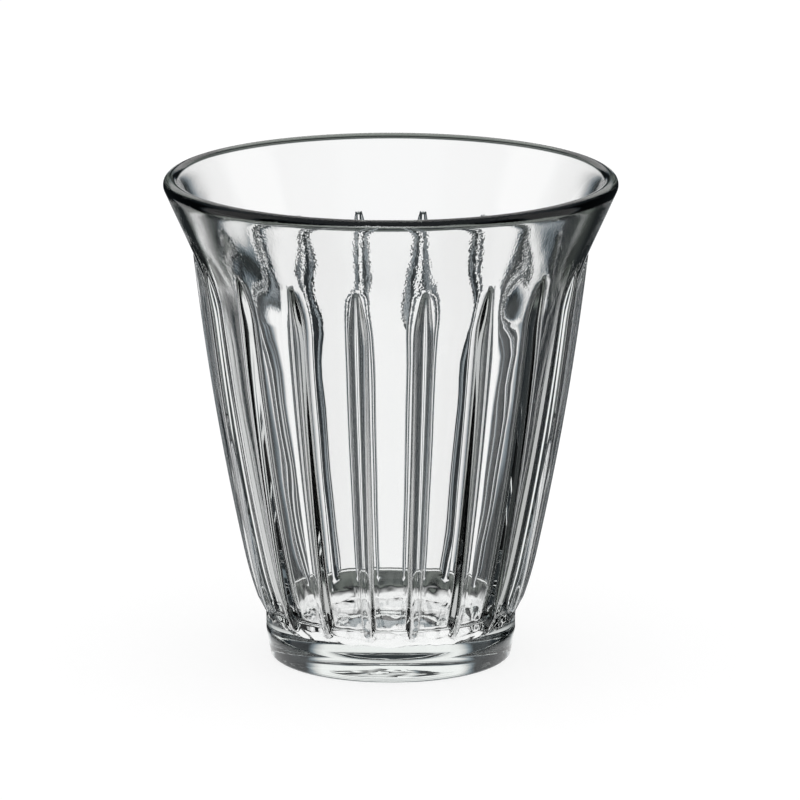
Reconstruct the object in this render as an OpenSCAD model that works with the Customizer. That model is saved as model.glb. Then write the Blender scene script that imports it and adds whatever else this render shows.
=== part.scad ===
// Pressed chai glass with a solid foot, raised ribs, a flared upper band and a rounded lip
// The glass stands on Z = 0 with its axis on +Z, and the first rib points along +X

/* [Overall] */
// Height from the table to the top of the lip
glass_h = 95; // [88:1:105]
// Outer diameter of the lip
rim_d = 87.7; // [80:0.5:96]
// Thickness of the wall, and so the diameter of the lip's full round
wall_t = 3.1; // [2.4:0.1:4]

/* [Foot] */
// Largest diameter of the foot, at its top edge
foot_d = 48.8; // [46:0.2:52]
// Height of the foot's top edge
foot_h = 10.6; // [9.4:0.1:12]
// Height of the soft bend in the foot's side
foot_bend_h = 5.1; // [3.5:0.1:6.5]
// How much narrower the foot is at that bend than at its top edge
foot_draft = 0.2; // [0:0.1:0.8]
// How much narrower the foot is at the table than at that bend
foot_taper = 1.5; // [0:0.1:3]
// Radius of the rounded edge at the table
foot_edge_r = 0.8; // [0.6:0.1:2.4]
// Width of the small ledge between the foot and the wall
ledge_w = 0.45; // [0.2:0.05:1.2]
// Radius of the ledge's outer edge
ledge_r = 0.3; // [0.1:0.05:0.4]
// Thickness of the glass under the cup's floor
floor_t = 6.4; // [5:0.2:8]
// Radius between the cup's floor and its wall
floor_r = 4; // [2.5:0.1:4.6]
// Diameter of the shallow recess under the foot
recess_d = 26; // [20:1:34]
// Depth of the recess under the foot
recess_t = 1; // [0.4:0.1:1.5]

/* [Wall] */
// Height from the foot's top edge up to the knee, where the wall starts to turn in
knee_rise = 9.8; // [7:0.2:14]
// How far the bend below the knee tucks the wall in at the foot
knee_tuck = 0.66; // [0.3:0.02:1.2]
// Height of the flare, from the shoulder to the top of the lip
flare_h = 23.8; // [20:0.2:28]
// How far the flare opens out past the shoulder
flare_out = 8.5; // [7:0.1:10]
// How far the wall bows out between the foot and the shoulder
wall_bow = 0.81; // [0.3:0.01:1.5]
// Lean of the flare just under the lip, in degrees
flare_lean = 22.8; // [18:0.2:28]

/* [Ribs] */
// Number of ribs round the glass
rib_count = 18; // [12:1:24]
// How far a rib stands out from the wall
rib_h = 1.8; // [1.2:0.1:2.2]
// Width of a rib at its top
rib_w = 3.5; // [2.6:0.1:4.2]
// Width of a rib at its toe
toe_w = 2.1; // [1.4:0.1:2.5]
// How far a rib's toe hangs down over the foot
toe_drop = 1.7; // [0.8:0.1:2.6]

/* [Hidden] */
$fn = 96;

// Runs of the outline: points along one bend of the wall, along the flare and round an edge
bend_steps = 6;
bow_steps = 10;
flare_steps = 10;
round_steps = 8;
// Steps along a rib's bar and sides of its round section
bar_steps = 16;
bar_sides = 48;
// Lengths of the flare's two handles, as shares of its chord
flare_handle_shares = [0.26, 0.43];
// Where a rib's bar ends inside the flare, as a share of the flare's height
bar_end_share = 0.7;
// Size of the recess's soft middle, as a share of its radius
soft_share = 0.1;
// Overrun of a cut past the face that it opens
cut_over = 1;

function rib_name(i) = str("rib_", i < 10 ? "0" : "", i);

// A point is [radius, height], and a lean is the angle that a wall makes with the upright
function heading(lean) = [sin(lean), cos(lean)];
function outward(lean) = [cos(lean), -sin(lean)];
function lean_of(v) = atan2(v.x, v.y);
function side_of(v) = atan2(-v.y, v.x);
function shares(n) = [for (i = [0 : n]) i / n];

// An arc is [centre, radius, lean at its lower end, lean at its upper end]
function bowed_arc(low, high, bow) =
    let (
        chord = high - low,
        radius = (norm(chord) * norm(chord) / 4 + bow * bow) / (2 * bow),
        half = asin(norm(chord) / 2 / radius),
        lean = lean_of(chord),
        centre = (low + high) / 2 - (radius - bow) * outward(lean)
    )
    [centre, radius, lean + half, lean - half];
function tangent_arc(low, high, lean) =
    let (
        run = high - low,
        radius = run * run / (2 * run * outward(lean)),
        centre = high - radius * outward(lean)
    )
    [centre, radius, side_of(low - centre), lean];
function lean_at(arc, h, out) = asin((arc[0].y - h) / (arc[1] + out));
function cut_arc(arc, h) = [arc[0], arc[1], lean_at(arc, h, 0), arc[3]];
function arc_point(arc, lean, out) = arc[0] + (arc[1] + out) * outward(lean);
function arc_points(arc, steps, out) =
    [for (s = shares(steps)) arc_point(arc, arc[2] + s * (arc[3] - arc[2]), out)];

// The wall's outer face between the ribs: toe bend, bowed run and flare
foot_top = [foot_d / 2 - ledge_w, foot_h];
shoulder = [rim_d / 2 - flare_out, glass_h - flare_h];
main_arc = cut_arc(bowed_arc(foot_top + [knee_tuck, 0], shoulder, wall_bow), foot_h + knee_rise);
knee = arc_point(main_arc, main_arc[2], 0);
toe_arc = tangent_arc(foot_top, knee, main_arc[2]);

// The lip is the full round of the wall, and the flare meets it square to its own lean
lip_r = wall_t / 2;
lip_centre = [rim_d / 2 - lip_r, glass_h - lip_r];
flare_top = lip_centre + lip_r * outward(flare_lean);
flare_chord = norm(flare_top - shoulder);
flare_poles = [
    shoulder,
    shoulder + flare_handle_shares[0] * flare_chord * heading(main_arc[3]),
    flare_top - flare_handle_shares[1] * flare_chord * heading(flare_lean),
    flare_top
];
function pole_point(p, s) =
    pow(1 - s, 3) * p[0] + 3 * s * pow(1 - s, 2) * p[1] + 3 * s * s * (1 - s) * p[2] + pow(s, 3) * p[3];
function pole_lean(p, s) =
    lean_of(pow(1 - s, 2) * (p[1] - p[0]) + 2 * s * (1 - s) * (p[2] - p[1]) + s * s * (p[3] - p[2]));
function flare_points(out) =
    [for (s = shares(flare_steps)) pole_point(flare_poles, s) + out * outward(pole_lean(flare_poles, s))];

function reversed(list) = [for (i = [len(list) - 1 : -1 : 0]) list[i]];
function without_first(list) = [for (i = [1 : len(list) - 1]) list[i]];

// Outer and inner faces of the wall, from the foot's top edge to the shoulder
function wall_points(out) =
    concat(arc_points(toe_arc, bend_steps, out), without_first(arc_points(main_arc, bow_steps, out)));

// The cup's floor meets the inner face of the wall in a round
low_lean = toe_arc[2];
inner_low = arc_point(toe_arc, low_lean, -wall_t);
floor_round_rise = floor_r * (1 - sin(low_lean));
floor_round_end = [
    inner_low.x - (inner_low.y - floor_t - floor_round_rise) * tan(low_lean),
    floor_t + floor_round_rise
];
floor_round_centre = floor_round_end - floor_r * outward(low_lean);
function turn_points(centre, radius, from, to) =
    [for (s = shares(round_steps)) let (a = from + s * (to - from)) centre + radius * [cos(a), sin(a)]];

// The foot's side, from the standing ring over the bend to the ledge
foot_bend = [(foot_d - foot_draft) / 2, foot_bend_h];
low_side_lean = atan2(foot_taper / 2, foot_bend_h);
high_side_lean = atan2(foot_draft / 2, foot_h - foot_bend_h);
edge_centre = [foot_bend.x - foot_taper / 2 - foot_edge_r, foot_edge_r];
ledge_centre = [foot_d / 2 - ledge_r, foot_h - ledge_r];
foot_side = concat(
    turn_points(edge_centre, foot_edge_r, -90, -low_side_lean),
    [foot_bend],
    turn_points(ledge_centre, ledge_r, -high_side_lean, 90)
);

// The recess under the foot is a shallow cone with a soft middle
function cone_rise(s) = (norm([1, soft_share]) - norm([s, soft_share])) / (norm([1, soft_share]) - soft_share);
recess_cone = [for (s = shares(round_steps)) [s * recess_d / 2, recess_t * cone_rise(s)]];

module turned(points) {
    rotate_extrude() polygon(points);
}

module foot() {
    color([0.8, 0.88, 0.85, 0.6])
        turned(concat(
            recess_cone,
            foot_side,
            [foot_top, inner_low],
            reversed(turn_points(floor_round_centre, floor_r, -90, -low_lean)),
            [[0, floor_t]]
        ));
}

module wall() {
    color([0.86, 0.92, 0.9, 0.4])
        turned(concat(wall_points(0), reversed(wall_points(-wall_t))));
}

module flare() {
    color([0.88, 0.93, 0.92, 0.4])
        turned(concat(flare_points(0), reversed(flare_points(-wall_t))));
}

module lip() {
    color([0.5, 0.58, 0.53, 0.8])
        turned(turn_points(lip_centre, lip_r, -flare_lean, 180 - flare_lean));
}

// All the glass inside the outer face, as one turned body that the ribs stand on
module core() {
    turned(concat(
        [[0, 0]],
        foot_side,
        wall_points(0),
        without_first(flare_points(0)),
        [[0, flare_top.y]]
    ));
}

// A rib is a round bar that follows the wall's two arcs, up from the knee and down from it
toe_h = foot_h - toe_drop;
bar_end_h = shoulder.y + bar_end_share * (flare_top.y - shoulder.y);
bar_out = rib_h - rib_w / 2;
knee_lean = main_arc[2];
bar_knee = arc_point(main_arc, knee_lean, bar_out);

module bar(arc, end_h) {
    path_r = arc[1] + bar_out;
    turn = knee_lean - lean_at(arc, end_h, bar_out);
    translate([-path_r, 0])
        rotate_extrude(angle = turn, $fn = bar_steps * 360 / abs(turn))
            translate([path_r, 0]) circle(rib_w / 2, $fn = bar_sides);
}

module bars() {
    translate([bar_knee.x, 0, bar_knee.y])
        rotate([90, 0, 0])
            rotate([0, 0, -knee_lean]) {
                bar(main_arc, bar_end_h);
                bar(toe_arc, toe_h - cut_over);
            }
}

// Seen from outside, a rib narrows from its top to its round toe
module rib_outline() {
    toe_z = toe_h + toe_w / 2;
    rotate([90, 0, 90])
        linear_extrude(rim_d / 2) {
            translate([0, toe_z]) circle(toe_w / 2);
            polygon([[-toe_w / 2, toe_z], [toe_w / 2, toe_z], [rib_w / 2, bar_end_h], [-rib_w / 2, bar_end_h]]);
        }
}

module rib(i) {
    color([0.7, 0.78, 0.76, 0.7])
        rotate([0, 0, (i - 1) * 360 / rib_count])
            difference() {
                intersection() {
                    bars();
                    rib_outline();
                }
                core();
            }
}

foot();
wall();
flare();
lip();
for (i = [1 : rib_count])
    rib(i);
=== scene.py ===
import math

import bmesh
import bpy
from mathutils import Matrix, Vector, noise


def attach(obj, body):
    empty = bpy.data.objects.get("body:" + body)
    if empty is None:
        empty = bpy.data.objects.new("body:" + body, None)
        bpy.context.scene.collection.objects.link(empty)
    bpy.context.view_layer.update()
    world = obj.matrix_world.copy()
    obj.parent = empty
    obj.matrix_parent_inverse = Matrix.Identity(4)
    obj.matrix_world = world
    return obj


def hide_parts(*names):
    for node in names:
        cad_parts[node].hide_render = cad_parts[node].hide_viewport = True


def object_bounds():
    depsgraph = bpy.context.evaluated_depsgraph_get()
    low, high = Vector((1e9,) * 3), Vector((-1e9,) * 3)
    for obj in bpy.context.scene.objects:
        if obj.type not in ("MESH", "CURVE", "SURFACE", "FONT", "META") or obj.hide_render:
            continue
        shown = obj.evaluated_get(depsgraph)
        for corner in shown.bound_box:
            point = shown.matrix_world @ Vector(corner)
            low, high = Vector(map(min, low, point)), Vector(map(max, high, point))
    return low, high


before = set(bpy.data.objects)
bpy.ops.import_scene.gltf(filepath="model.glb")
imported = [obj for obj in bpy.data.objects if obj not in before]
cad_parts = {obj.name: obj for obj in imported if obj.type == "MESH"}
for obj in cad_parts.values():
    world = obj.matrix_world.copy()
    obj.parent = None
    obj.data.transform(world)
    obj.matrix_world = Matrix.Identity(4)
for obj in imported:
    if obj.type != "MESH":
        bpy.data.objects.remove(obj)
cadLow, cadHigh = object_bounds()
mm = 0.001
print("frame loaded:", len(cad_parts), "nodes")


# Camera at the photo's angle, with a long lens

camera = {
    "lens": 301.6,          # mm on a 36 mm sensor
    "distance": 1.3,        # metres from the point it aims at
    "pitch": 13.39,         # degrees down
    "aimShare": 0.5318,     # height that it aims at, as a share of the glass's
    "shift": 0.0115,
}


def makeCamera():
    data = bpy.data.cameras.new("camera")
    data.lens = camera["lens"]
    data.shift_x = camera["shift"]
    data.clip_start = 0.01
    obj = bpy.data.objects.new("camera", data)
    pitch = math.radians(camera["pitch"])
    back = Vector((0, -math.cos(pitch), math.sin(pitch)))
    obj.location = Vector((0, 0, camera["aimShare"] * cadHigh.z)) + camera["distance"] * back
    obj.rotation_euler = (math.pi / 2 - pitch, 0, 0)
    bpy.context.scene.collection.objects.link(obj)
    bpy.context.scene.camera = obj


# The glass's outline in mm: a point is (radius, height), and a lean is an angle from the upright

glass = {
    "rimR": cadHigh.x / mm,
    "height": cadHigh.z / mm,
    "wallT": 3.1,           # thickness of the wall and lip
    "footR": 24.4,          # foot at its top edge
    "footH": 10.6,
    "footTaper": 0.1,       # how much narrower the foot is at half its height
    "footKneeH": 5.1,       # from there down its side leans in
    "lowTaper": 0.75,
    "edgeR": 0.8,           # rounded edge at the table
    "ledgeW": 0.6,         # ledge between the foot and the wall
    "ledgeR": 0.45,
    "floorT": 6.4,          # glass under the cup's floor
    "floorR": 4.0,          # round under the wall
    "coneRun": 0.8,         # straight slope between that round and the floor
    "coneSlope": math.radians(40),
    "recessR": 13.0,        # shallow recess under the foot
    "recessT": 1.0,
    "recessSoft": 0.1,      # size of its soft middle, as a share of its radius
    "kneeRise": 9.8,        # from the foot's top edge to the knee
    "kneeTuck": 0.66,
    "flareH": 23.8,         # from the shoulder to the top of the lip
    "flareOut": 8.5,
    "wallBow": 0.81,
    "flareLean": math.radians(22.8),
    "flareHandleShares": (0.26, 0.43),
    "tipShare": 0.46,       # share of the flare's curve below the ribs' tips
    "floorEdge": 1.0,       # band of close rows round the floor
}

ribs = {
    "count": 18,
    "height": 1.8,
    "coreR": (0.95, 1.6),       # round of the crest, at the toe and at the tip
    "filletR": (0.25, 0.35),    # hollow beside it
    "steepest": math.radians(69),
    "toeZ": 8.3,                # where a toe has died away on the foot
    "joinZ": 11.4,              # from here up the crest runs alongside the wall
    "tipZ": (69, 80),           # over these heights the crest narrows to its tip
    "tipShare": 0.5,
    "meltZ": (8.3, 9.8),        # over these heights a toe widens and melts into the foot
    "meltR": (3.0, 6.0),
    "leastH": 0.35,             # lower than this, the columns draw no closer
    "columns": 24,              # across one rib and the panel beside it
    "ribColumns": 18,
    "rowShares": (0.5, 0.75),   # how closely the columns lie on a flank and in a hollow
}


def heading(lean):
    return Vector((math.sin(lean), math.cos(lean)))


def outward(lean):
    return Vector((math.cos(lean), -math.sin(lean)))


def leanOf(v):
    return math.atan2(v.x, v.y)


def mix(a, b, share):
    return a + share * (b - a)


def smooth(x, low=0.0, high=1.0):  # runs down where high is below low
    s = min(max((x - low) / (high - low), 0.0), 1.0)
    return s * s * (3 - 2 * s)


class Arc:
    def __init__(self, centre, radius, low, high):
        self.centre, self.radius, self.low, self.high = centre, radius, low, high

    def at(self, share, out=0.0):
        return self.centre + (self.radius + out) * outward(mix(self.low, self.high, share))


def bowedArc(low, high, bow):
    chord = high - low
    radius = (chord.length_squared / 4 + bow * bow) / (2 * bow)
    half = math.asin(chord.length / 2 / radius)
    centre = (low + high) / 2 - (radius - bow) * outward(leanOf(chord))
    return Arc(centre, radius, leanOf(chord) + half, leanOf(chord) - half)


def tangentArc(low, high, lean):
    run = low - high
    radius = run.length_squared / (-2 * run.dot(outward(lean)))
    centre = high - radius * outward(lean)
    return Arc(centre, radius, math.atan2(centre.y - low.y, low.x - centre.x), lean)


def poleAt(p, s):
    shares = ((1 - s) ** 3, 3 * s * (1 - s) ** 2, 3 * s * s * (1 - s), s ** 3)
    point = sum((w * q for w, q in zip(shares, p)), Vector((0, 0)))
    steps = ((1 - s) ** 2, 2 * s * (1 - s), s * s)
    run = sum((w * (b - a) for w, a, b in zip(steps, p, p[1:])), Vector((0, 0)))
    return point, leanOf(run)


def roundAt(centre, radius, start, end, share):
    a = mix(start, end, share)
    return centre + radius * Vector((math.cos(a), math.sin(a)))


# The stretches of the closed outline: name, steps and the place at a share of the stretch
def makeOutline(g):
    footTop = Vector((g["footR"] - g["ledgeW"], g["footH"]))
    shoulder = Vector((g["rimR"] - g["flareOut"], g["height"] - g["flareH"]))
    wall = bowedArc(footTop + Vector((g["kneeTuck"], 0)), shoulder, g["wallBow"])
    wall.low = math.asin((wall.centre.y - g["footH"] - g["kneeRise"]) / wall.radius)
    toe = tangentArc(footTop, wall.at(0), wall.low)

    lipR = g["wallT"] / 2
    lipCentre = Vector((g["rimR"] - lipR, g["height"] - lipR))
    flareTop = lipCentre + lipR * outward(g["flareLean"])
    chord = (flareTop - shoulder).length
    low, high = g["flareHandleShares"]
    poles = [
        shoulder,
        shoulder + low * chord * heading(wall.high),
        flareTop - high * chord * heading(g["flareLean"]),
        flareTop,
    ]

    def flare(s, out=0.0):
        point, lean = poleAt(poles, s)
        return point + out * outward(lean)

    def recess(s):  # a shallow cone with a soft middle
        soft = g["recessSoft"]
        depth = (math.hypot(1, soft) - math.hypot(s, soft)) / (math.hypot(1, soft) - soft)
        return Vector((s * g["recessR"], g["recessT"] * depth))

    lowLean = math.atan2(g["lowTaper"], g["footKneeH"])
    sideLean = math.atan2(g["footTaper"], g["footH"] - g["footKneeH"])
    footKnee = Vector((g["footR"] - g["footTaper"], g["footKneeH"]))
    edge = Vector((footKnee.x - g["lowTaper"] - g["edgeR"], g["edgeR"]))
    ledge = Vector((g["footR"] - g["ledgeR"], g["footH"] - g["ledgeR"]))
    sideLow = roundAt(edge, g["edgeR"], 0, -lowLean, 1)
    sideHigh = roundAt(ledge, g["ledgeR"], 0, -sideLean, 1)
    toeEnd = footKnee.lerp(sideHigh, (ribs["toeZ"] - footKnee.y) / (sideHigh.y - footKnee.y))

    inner = toe.at(0, -g["wallT"])
    flat = math.pi / 2
    turned = flat - g["coneSlope"]
    coneTop = g["floorT"] + g["coneRun"] * math.sin(g["coneSlope"])
    roundTop = coneTop + g["floorR"] * (math.sin(turned) - math.sin(toe.low))
    roundEnd = Vector((inner.x - (inner.y - roundTop) * math.tan(toe.low), roundTop))
    floorRound = roundEnd - g["floorR"] * outward(toe.low)
    cone = roundAt(floorRound, g["floorR"], 0, -turned, 1)
    crease = cone - g["coneRun"] * Vector((math.cos(g["coneSlope"]), math.sin(g["coneSlope"])))
    inside = crease.x - g["floorEdge"]
    tip = g["tipShare"]
    return wall, toe, [
        ("recess", 20, recess),
        ("ring", 3, lambda s: Vector((mix(g["recessR"], edge.x, s), 0))),
        ("edge", 7, lambda s: roundAt(edge, g["edgeR"], -flat, -lowLean, s)),
        ("sideLow", 5, lambda s: sideLow.lerp(footKnee, smooth(s))),
        ("side", 5, lambda s: footKnee.lerp(toeEnd, s)),
        ("sideHigh", 12, lambda s: toeEnd.lerp(sideHigh, s)),
        ("ledge", 5, lambda s: roundAt(ledge, g["ledgeR"], -sideLean, flat, s)),
        ("ledge", 3, lambda s: Vector((ledge.x, g["footH"])).lerp(footTop, s)),
        ("toe", 16, lambda s: toe.at(s)),
        ("wall", 31, lambda s: wall.at(s)),
        ("flareLow", 24, lambda s: flare(tip * s)),
        ("flareHigh", 14, lambda s: flare(mix(tip, 1, s))),
        ("lip", 14, lambda s: roundAt(lipCentre, lipR, -g["flareLean"], math.pi - g["flareLean"], s)),
        ("innerFlare", 14, lambda s: flare(1 - s, -g["wallT"])),
        ("innerWall", 16, lambda s: wall.at(1 - s, -g["wallT"])),
        ("innerToe", 8, lambda s: toe.at(1 - s, -g["wallT"])),
        ("floorRound", 12, lambda s: roundAt(floorRound, g["floorR"], -toe.low, -turned, s)),
        ("floorCone", 4, lambda s: cone.lerp(crease, s)),
        ("floorEdge", 4, lambda s: Vector((mix(crease.x, inside, s), g["floorT"]))),
        ("floor", 14, lambda s: Vector((inside * (1 - s), g["floorT"]))),
    ]


# The crest's point beside each point of the outline, or None where no rib stands
def crestLine(wall, toe, names, points):
    height = ribs["height"]
    joinAt = next(i for i, p in enumerate(points) if names[i] == "toe" and p.y > ribs["joinZ"])
    startAt = names.index("sideHigh")
    crest = [None] * len(points)
    for i, (name, p) in enumerate(zip(names, points)):
        if i >= joinAt and name in ("toe", "wall", "flareLow"):
            arc = toe if name == "toe" else wall
            away = (points[i + 1] - points[i - 1]).normalized()
            normal = Vector((away.y, -away.x))
            reach = p - arc.centre
            along = reach.dot(normal)
            rise = along * along - reach.length_squared + (arc.radius + height) ** 2
            rise = math.sqrt(rise) - along
            if rise > 0:
                crest[i] = p + rise * normal
    runs = [0.0]
    for a, b in zip(points[startAt:joinAt], points[startAt + 1:joinAt + 1]):
        runs.append(runs[-1] + (b - a).length)
    for i in range(startAt, joinAt):
        crest[i] = points[startAt].lerp(crest[joinAt], runs[i - startAt] / runs[-1])
    return crest


# Distance from the crest's line and height over the panel, from the crest (0) to the panel (1)
def ribSection(height, coreR, filletR, share):
    both = coreR + filletR
    bend = math.acos(max(1 - height / both, math.cos(ribs["steepest"])))
    flank = max(height - both * (1 - math.cos(bend)), 0) / math.sin(bend)
    flankShare, hollowShare = ribs["rowShares"]
    lengths = (bend, flankShare * flank, hollowShare * bend)
    at = share * sum(lengths)
    if at <= lengths[0]:
        return coreR * math.sin(at), height - coreR * (1 - math.cos(at))
    at -= lengths[0]
    if at < lengths[1]:
        at /= flankShare
        return (coreR * math.sin(bend) + at * math.cos(bend),
                height - coreR * (1 - math.cos(bend)) - at * math.sin(bend))
    left = bend - (at - lengths[1]) / hollowShare
    width = both * math.sin(bend) + flank * math.cos(bend)
    return width - filletR * math.sin(left), filletR * (1 - math.cos(left))


# Height over the panel at a distance from the crest's line, for a rib that is low enough
def lowRib(height, coreR, filletR, u):
    both = coreR + filletR
    bend = math.acos(1 - height / both)
    if u < coreR * math.sin(bend):
        return height - coreR + math.sqrt(coreR * coreR - u * u)
    left = both * math.sin(bend) - u
    return filletR - math.sqrt(filletR ** 2 - left ** 2) if left > 0 else 0.0


# Pressed glass is slightly uneven inside the cup and under the foot: scale and depth of each wave in mm

ripples = {
    "floor": ((6.0, 0.07), (1.8, 0.03)),
    "recess": ((6.0, 0.05), (1.5, 0.015)),
    "round": ((5.0, 0.6), (1.7, 0.28), (0.9, 0.05)),
    "wall": ((9.0, 0.05), (3.0, 0.012)),
    "shoulder": ((13.0, 0.50), (1.1, 0.006)),
}

def ripple(place, waves, seed):
    offset = Vector((seed, 2 * seed, 3 * seed))
    return sum(depth * noise.noise(place / scale + offset) for scale, depth in waves)


def rippleSurface(bm, rowOf, names):
    bm.normal_update()
    moves = []
    for v in bm.verts:
        name = names[v[rowOf]]
        if name == "recess":
            away = smooth(math.hypot(v.co.x, v.co.y), glass["recessR"], glass["recessR"] - 1.5)
            moves.append((v, away * ripple(v.co, ripples["recess"], 8.6) * v.normal))
        if not name.startswith(("inner", "floor")):
            continue
        z = v.co.z
        low = smooth(z, glass["floorT"] + 6, glass["floorT"] + 2.5)
        flat = smooth(math.hypot(v.co.x, v.co.y), 17.5, 15.5)
        away = smooth(z, glass["height"] - 3, glass["height"] - 12)
        depth = (low * (1 - flat) * ripple(v.co, ripples["round"], 11.3)
                 + low * flat * ripple(v.co, ripples["floor"], 4.7)
                 + away * (1 - low) * ripple(v.co, ripples["wall"], 7.9)
                 + smooth(z, 62, 74) * smooth(z, 90, 80) * ripple(v.co, ripples["shoulder"], 3.1))
        moves.append((v, depth * v.normal))
    for v, move in moves:
        v.co += move


def makeGlass():
    wall, toe, stretches = makeOutline(glass)
    names, points = [], []
    for name, steps, place in stretches:
        names += [name] * steps
        points += [place(i / steps) for i in range(steps)]
    names.append(name)
    points.append(place(1))
    crest = crestLine(wall, toe, names, points)

    pitch = 2 * math.pi / ribs["count"]
    columns = ribs["columns"]
    bm = bmesh.new()
    rowOf = bm.verts.layers.int.new("row")
    chain = []
    for i, p in enumerate(points):
        v = bm.verts.new((p.x, 0, p.y))
        v[rowOf] = i
        chain.append(v)
    chain += [bm.edges.new(pair) for pair in zip(chain, chain[1:])]
    bmesh.ops.rotate(bm, verts=bm.verts, cent=(0, 0, 0), matrix=Matrix.Rotation(-pitch / 2, 3, "Z"))
    bmesh.ops.spin(bm, geom=chain, cent=(0, 0, 0), axis=(0, 0, 1), dvec=(0, 0, 0), angle=pitch,
                   steps=columns, use_merge=False, use_normal_flip=False, use_duplicate=False)
    bm.verts.ensure_lookup_table()

    shoulderZ = points[names.index("flareLow")].y
    first, last = names.index("sideHigh"), max(i for i, c in enumerate(crest) if c)
    half = ribs["ribColumns"] // 2
    for v in bm.verts:
        row = v[rowOf]
        if not names.index("sideLow") <= row < names.index("lip"):
            continue
        p = points[row]
        even = math.atan2(v.co.y, v.co.x)
        column = round(even / pitch * columns)
        side, away = (1 if column >= 0 else -1), abs(column)
        if row < first:
            spread = smooth(row, names.index("sideLow"), first)
        else:
            spread = 1 - smooth(row, last, names.index("lip") - 4)
        share = min(max((p.y - ribs["toeZ"]) / (shoulderZ - ribs["toeZ"]), 0), 1)
        coreR, filletR = (mix(*ribs[key], share) for key in ("coreR", "filletR"))
        melt = smooth(p.y, ribs["meltZ"][1], ribs["meltZ"][0])
        coreR, filletR = mix(coreR, ribs["meltR"][0], melt), mix(filletR, ribs["meltR"][1], melt)
        coreR *= mix(1, ribs["tipShare"], smooth(p.y, *ribs["tipZ"]))
        direction = (crest[row] - p) if crest[row] else Vector((1, 0))
        height = direction.length if crest[row] else 0.0
        held = max(height, ribs["leastH"])
        edgeAt = ribSection(held, coreR, filletR, 1)[0]
        if away <= half:
            u, h = ribSection(held, coreR, filletR, away / half)
        else:
            u, h = mix(edgeAt, pitch / 2 * p.x, (away - half) / (columns / 2 - half)), 0.0
        if height < held:
            h = lowRib(height, coreR, filletR, u) if height > 0 else 0.0
        angle = mix(even, side * u / p.x, spread)
        q = p + (h / height * direction if height > 0 else Vector((0, 0)))
        v.co = (q.x * math.cos(angle), q.x * math.sin(angle), q.y)

    bmesh.ops.spin(bm, geom=bm.verts[:] + bm.edges[:] + bm.faces[:], cent=(0, 0, 0), axis=(0, 0, 1),
                   dvec=(0, 0, 0), angle=2 * math.pi - pitch, steps=ribs["count"] - 1,
                   use_merge=False, use_normal_flip=False, use_duplicate=True)
    bmesh.ops.remove_doubles(bm, verts=bm.verts, dist=2e-3)
    bmesh.ops.recalc_face_normals(bm, faces=bm.faces)
    rippleSurface(bm, rowOf, names)
    bmesh.ops.scale(bm, vec=(mm, mm, mm), verts=bm.verts)
    bmesh.ops.recalc_face_normals(bm, faces=bm.faces)
    for f in bm.faces:
        f.smooth = True
    openEdges = sum(1 for e in bm.edges if len(e.link_faces) != 2)
    mesh = bpy.data.meshes.new("chai_glass")
    bm.to_mesh(mesh)
    print("glass made:", len(bm.verts), "points,", len(bm.faces), "faces,", openEdges, "open edges")
    bm.free()
    obj = bpy.data.objects.new("chai_glass", mesh)
    bpy.context.scene.collection.objects.link(obj)
    return obj


# Inputs are values or other nodes' outputs, by place or by name
def addNode(tree, kind, inputs=(), **settings):
    node = tree.nodes.new(kind)
    for key, value in settings.items():
        setattr(node, key, value)
    pairs = inputs.items() if isinstance(inputs, dict) else enumerate(inputs)
    for key, value in pairs:
        if isinstance(value, bpy.types.NodeSocket):
            tree.links.new(value, node.inputs[key])
        else:
            node.inputs[key].default_value = value
    return node


def addMath(tree, operation, *inputs):
    return addNode(tree, "ShaderNodeMath", inputs, operation=operation).outputs[0]


# 0 below low and 1 above high, smooth between them
def addRamp(tree, value, low, high):
    return addNode(tree, "ShaderNodeMapRange", {"Value": value, "From Min": low, "From Max": high},
                   interpolation_type="SMOOTHSTEP").outputs[0]


def addMix(tree, share, a, b):  # of two colours
    return addNode(tree, "ShaderNodeMix", {0: share, 6: a, 7: b}, data_type="RGBA").outputs[2]


# The clear glass: fire-polished, with the faint grey-green of soda glass where it is thick

clearGlass = {
    "ior": 1.52,
    "tint": (0.66, 0.75, 0.69, 1),
    "density": 8,
    "pebbleScale": 2600,        # fine pebbles on the flare, per metre
    "pebbleDepth": 0.0000033,
    "pebbleZ": (0.070, 0.078),  # they start over these heights
}


def makeGlassMaterial():
    mat = bpy.data.materials.new("clear glass")
    mat.use_nodes = True
    tree = mat.node_tree
    shader = tree.nodes["Principled BSDF"]
    shader.inputs["Base Color"].default_value = (1, 1, 1, 1)
    shader.inputs["Transmission Weight"].default_value = 1
    shader.inputs["Roughness"].default_value = 0
    shader.inputs["IOR"].default_value = clearGlass["ior"]
    place = addNode(tree, "ShaderNodeTexCoord").outputs["Object"]
    pebbles = addNode(tree, "ShaderNodeTexNoise",
                      {"Vector": place, "Scale": clearGlass["pebbleScale"], "Detail": 0})
    height = addNode(tree, "ShaderNodeSeparateXYZ", [place]).outputs["Z"]
    pebbles = addMath(tree, "MULTIPLY", pebbles.outputs[0], addRamp(tree, height, *clearGlass["pebbleZ"]))
    bump = addNode(tree, "ShaderNodeBump",
                   {"Height": pebbles, "Distance": clearGlass["pebbleDepth"], "Strength": 1})
    tree.links.new(bump.outputs[0], shader.inputs["Normal"])
    absorb = addNode(tree, "ShaderNodeVolumeAbsorption",
                     {"Color": clearGlass["tint"], "Density": clearGlass["density"]})
    tree.links.new(absorb.outputs[0], tree.nodes["Material Output"].inputs["Volume"])
    return mat


# The studio: a white room for what stands in it, and white panels with dark between them for the glass

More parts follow.
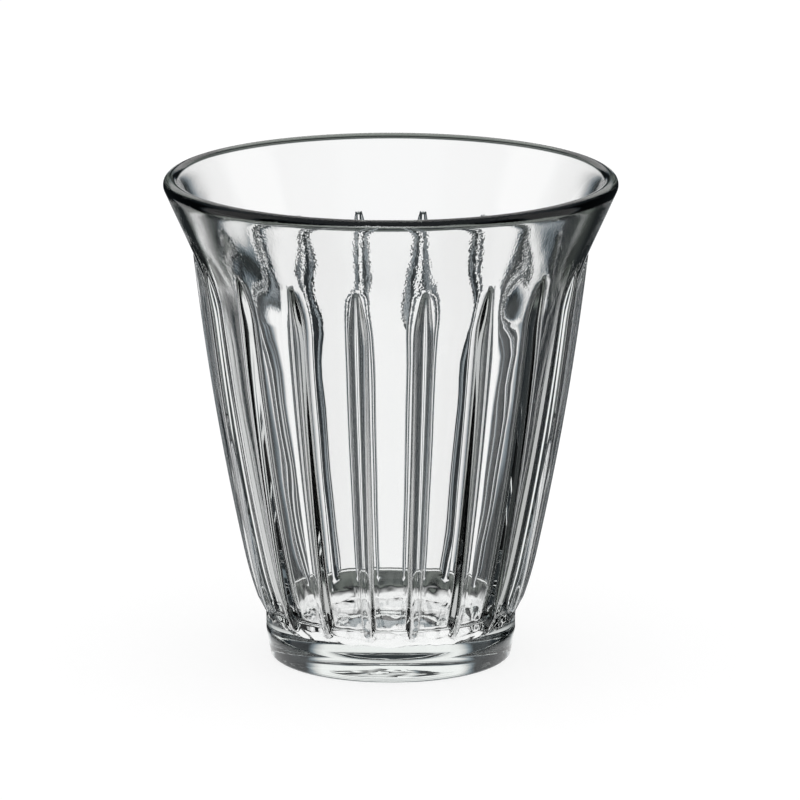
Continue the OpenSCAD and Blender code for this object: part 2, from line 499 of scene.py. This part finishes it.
studio = {
    "panels": [  # azimuth from +X, half its width, its soft edge, lowest and highest height, brightness
        (90, 5, 5, -22, 5, 1.0),
        (90, 24, 12, 13.5, 75, 1.0),
        (90, 60, 30, -85, -40, 0.22),
        (90, 60, 30, -31, -26, 0.16),  # seen by the wall just above the floor
        (270, 26, 20, -60, 70, 0.35),
        (180, 14, 8, -40, 60, 0.6),
        (0, 14, 8, -40, 60, 0.6),
        (135, 8, 8, -32, -16, 0.9),
        (180, 8, 8, -10, 4, 0.9),
        (315, 8, 8, -22, -7, 0.9),
    ],
    "surround": (0.02, 0.4),      # between the panels, at the lowest and the highest height
    "surroundHeights": (20, 55),
    "tints": ((0.90, 1, 0.90, 1), (0.70, 0.87, 1, 1)),   # of the dark, below and above the table's edge
    "tintHeights": (-30, -14),
    "plateR": 0.034,              # the glowing patch of table that the foot sees: painted light standing in for the lit table under the glass
    "plateSoft": (0.028, 0.034),  # it fades out over these radii
    "floorR": 5.0,
    "floorGlow": 0.75,            # of the floor's white, the share that no shadow dims
}


def makeWorld():
    world = bpy.data.worlds.new("studio")
    bpy.context.scene.world = world
    world.use_nodes = True
    tree = world.node_tree
    coord = addNode(tree, "ShaderNodeTexCoord").outputs["Generated"]
    split = addNode(tree, "ShaderNodeSeparateXYZ", [coord])
    height = addMath(tree, "DEGREES", addMath(tree, "ARCSINE", split.outputs["Z"]))
    rise = addRamp(tree, height, *studio["surroundHeights"])
    low, high = studio["surround"]
    light = addMath(tree, "MULTIPLY_ADD", rise, high - low, low)
    for azimuth, half, soft, bottom, top, brightness in studio["panels"]:
        turned = addNode(tree, "ShaderNodeVectorRotate", {"Vector": coord, "Angle": -math.radians(azimuth)},
                         rotation_type="Z_AXIS").outputs[0]
        turned = addNode(tree, "ShaderNodeSeparateXYZ", [turned])
        aside = addMath(tree, "ARCTAN2", turned.outputs["Y"], turned.outputs["X"])
        aside = addMath(tree, "DEGREES", addMath(tree, "ABSOLUTE", aside))
        shown = addMath(tree, "SUBTRACT", 1.0, addRamp(tree, aside, half, half + soft))
        shown = addMath(tree, "MULTIPLY", shown, addRamp(tree, height, bottom - 3, bottom + 3))
        shown = addMath(tree, "MULTIPLY", shown,
                        addMath(tree, "SUBTRACT", 1.0, addRamp(tree, height, top - 3, top + 3)))
        light = addMath(tree, "MAXIMUM", light, addMath(tree, "MULTIPLY", shown, brightness))
    path = addNode(tree, "ShaderNodeLightPath").outputs
    seen = addMath(tree, "MAXIMUM", path["Is Glossy Ray"], path["Is Transmission Ray"])
    strength = addMath(tree, "ADD", addMath(tree, "MULTIPLY", seen, light),
                       addMath(tree, "SUBTRACT", 1.0, seen))
    background = tree.nodes["Background"]
    tint = addRamp(tree, height, *studio["tintHeights"])
    tint = addMix(tree, tint, *studio["tints"])
    pale = addMix(tree, addRamp(tree, strength, 0.1, 0.7), tint, (1, 1, 1, 1))
    tree.links.new(pale, background.inputs["Color"])
    tree.links.new(strength, background.inputs["Strength"])


def makeDisc(name, radius, height):
    bm = bmesh.new()
    bmesh.ops.create_circle(bm, cap_ends=True, segments=128, radius=radius)
    bmesh.ops.translate(bm, verts=bm.verts, vec=(0, 0, height))
    mesh = bpy.data.meshes.new(name)
    bm.to_mesh(mesh)
    bm.free()
    obj = bpy.data.objects.new(name, mesh)
    bpy.context.scene.collection.objects.link(obj)
    return obj


def makeFloor():
    floor = makeDisc("floor", studio["floorR"], 0)
    mat = bpy.data.materials.new("pale floor")
    mat.use_nodes = True
    tree = mat.node_tree
    shader = tree.nodes["Principled BSDF"]
    glow = studio["floorGlow"]
    shader.inputs["Base Color"].default_value = (1.04 - glow,) * 3 + (1,)
    shader.inputs["Roughness"].default_value = 1
    shader.inputs["Specular IOR Level"].default_value = 0
    shader.inputs["Emission Color"].default_value = (1, 1, 1, 1)
    path = addNode(tree, "ShaderNodeLightPath").outputs
    lit = addMath(tree, "MULTIPLY", path["Is Camera Ray"], glow)
    tree.links.new(lit, shader.inputs["Emission Strength"])
    floor.data.materials.append(mat)
    floor.visible_transmission = False
    floor.visible_glossy = False

    # A glowing disc under the glass that only the glass sees: painted light for the lit table under the
    # foot, fading out at its rim
    plate = makeDisc("plate", studio["plateR"], -0.0002)
    mat = bpy.data.materials.new("table light patch")
    mat.use_nodes = True
    tree = mat.node_tree
    shader = tree.nodes["Principled BSDF"]
    shader.inputs["Base Color"].default_value = (0, 0, 0, 1)
    shader.inputs["Specular IOR Level"].default_value = 0
    shader.inputs["Emission Color"].default_value = (1, 1, 1, 1)
    place = addNode(tree, "ShaderNodeTexCoord").outputs["Object"]
    away = addNode(tree, "ShaderNodeVectorMath", [place], operation="LENGTH").outputs["Value"]
    lit = addMath(tree, "SUBTRACT", 1.0, addRamp(tree, away, *studio["plateSoft"]))
    tree.links.new(lit, shader.inputs["Emission Strength"])
    plate.data.materials.append(mat)
    plate.visible_camera = False
    plate.visible_diffuse = False
    plate.visible_shadow = False


makeCamera()
makeWorld()
makeFloor()
print("studio made")
tumbler = makeGlass()
tumbler.data.materials.append(makeGlassMaterial())
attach(tumbler, "root")
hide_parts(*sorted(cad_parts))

bpy.context.scene.view_settings.view_transform = "Standard"
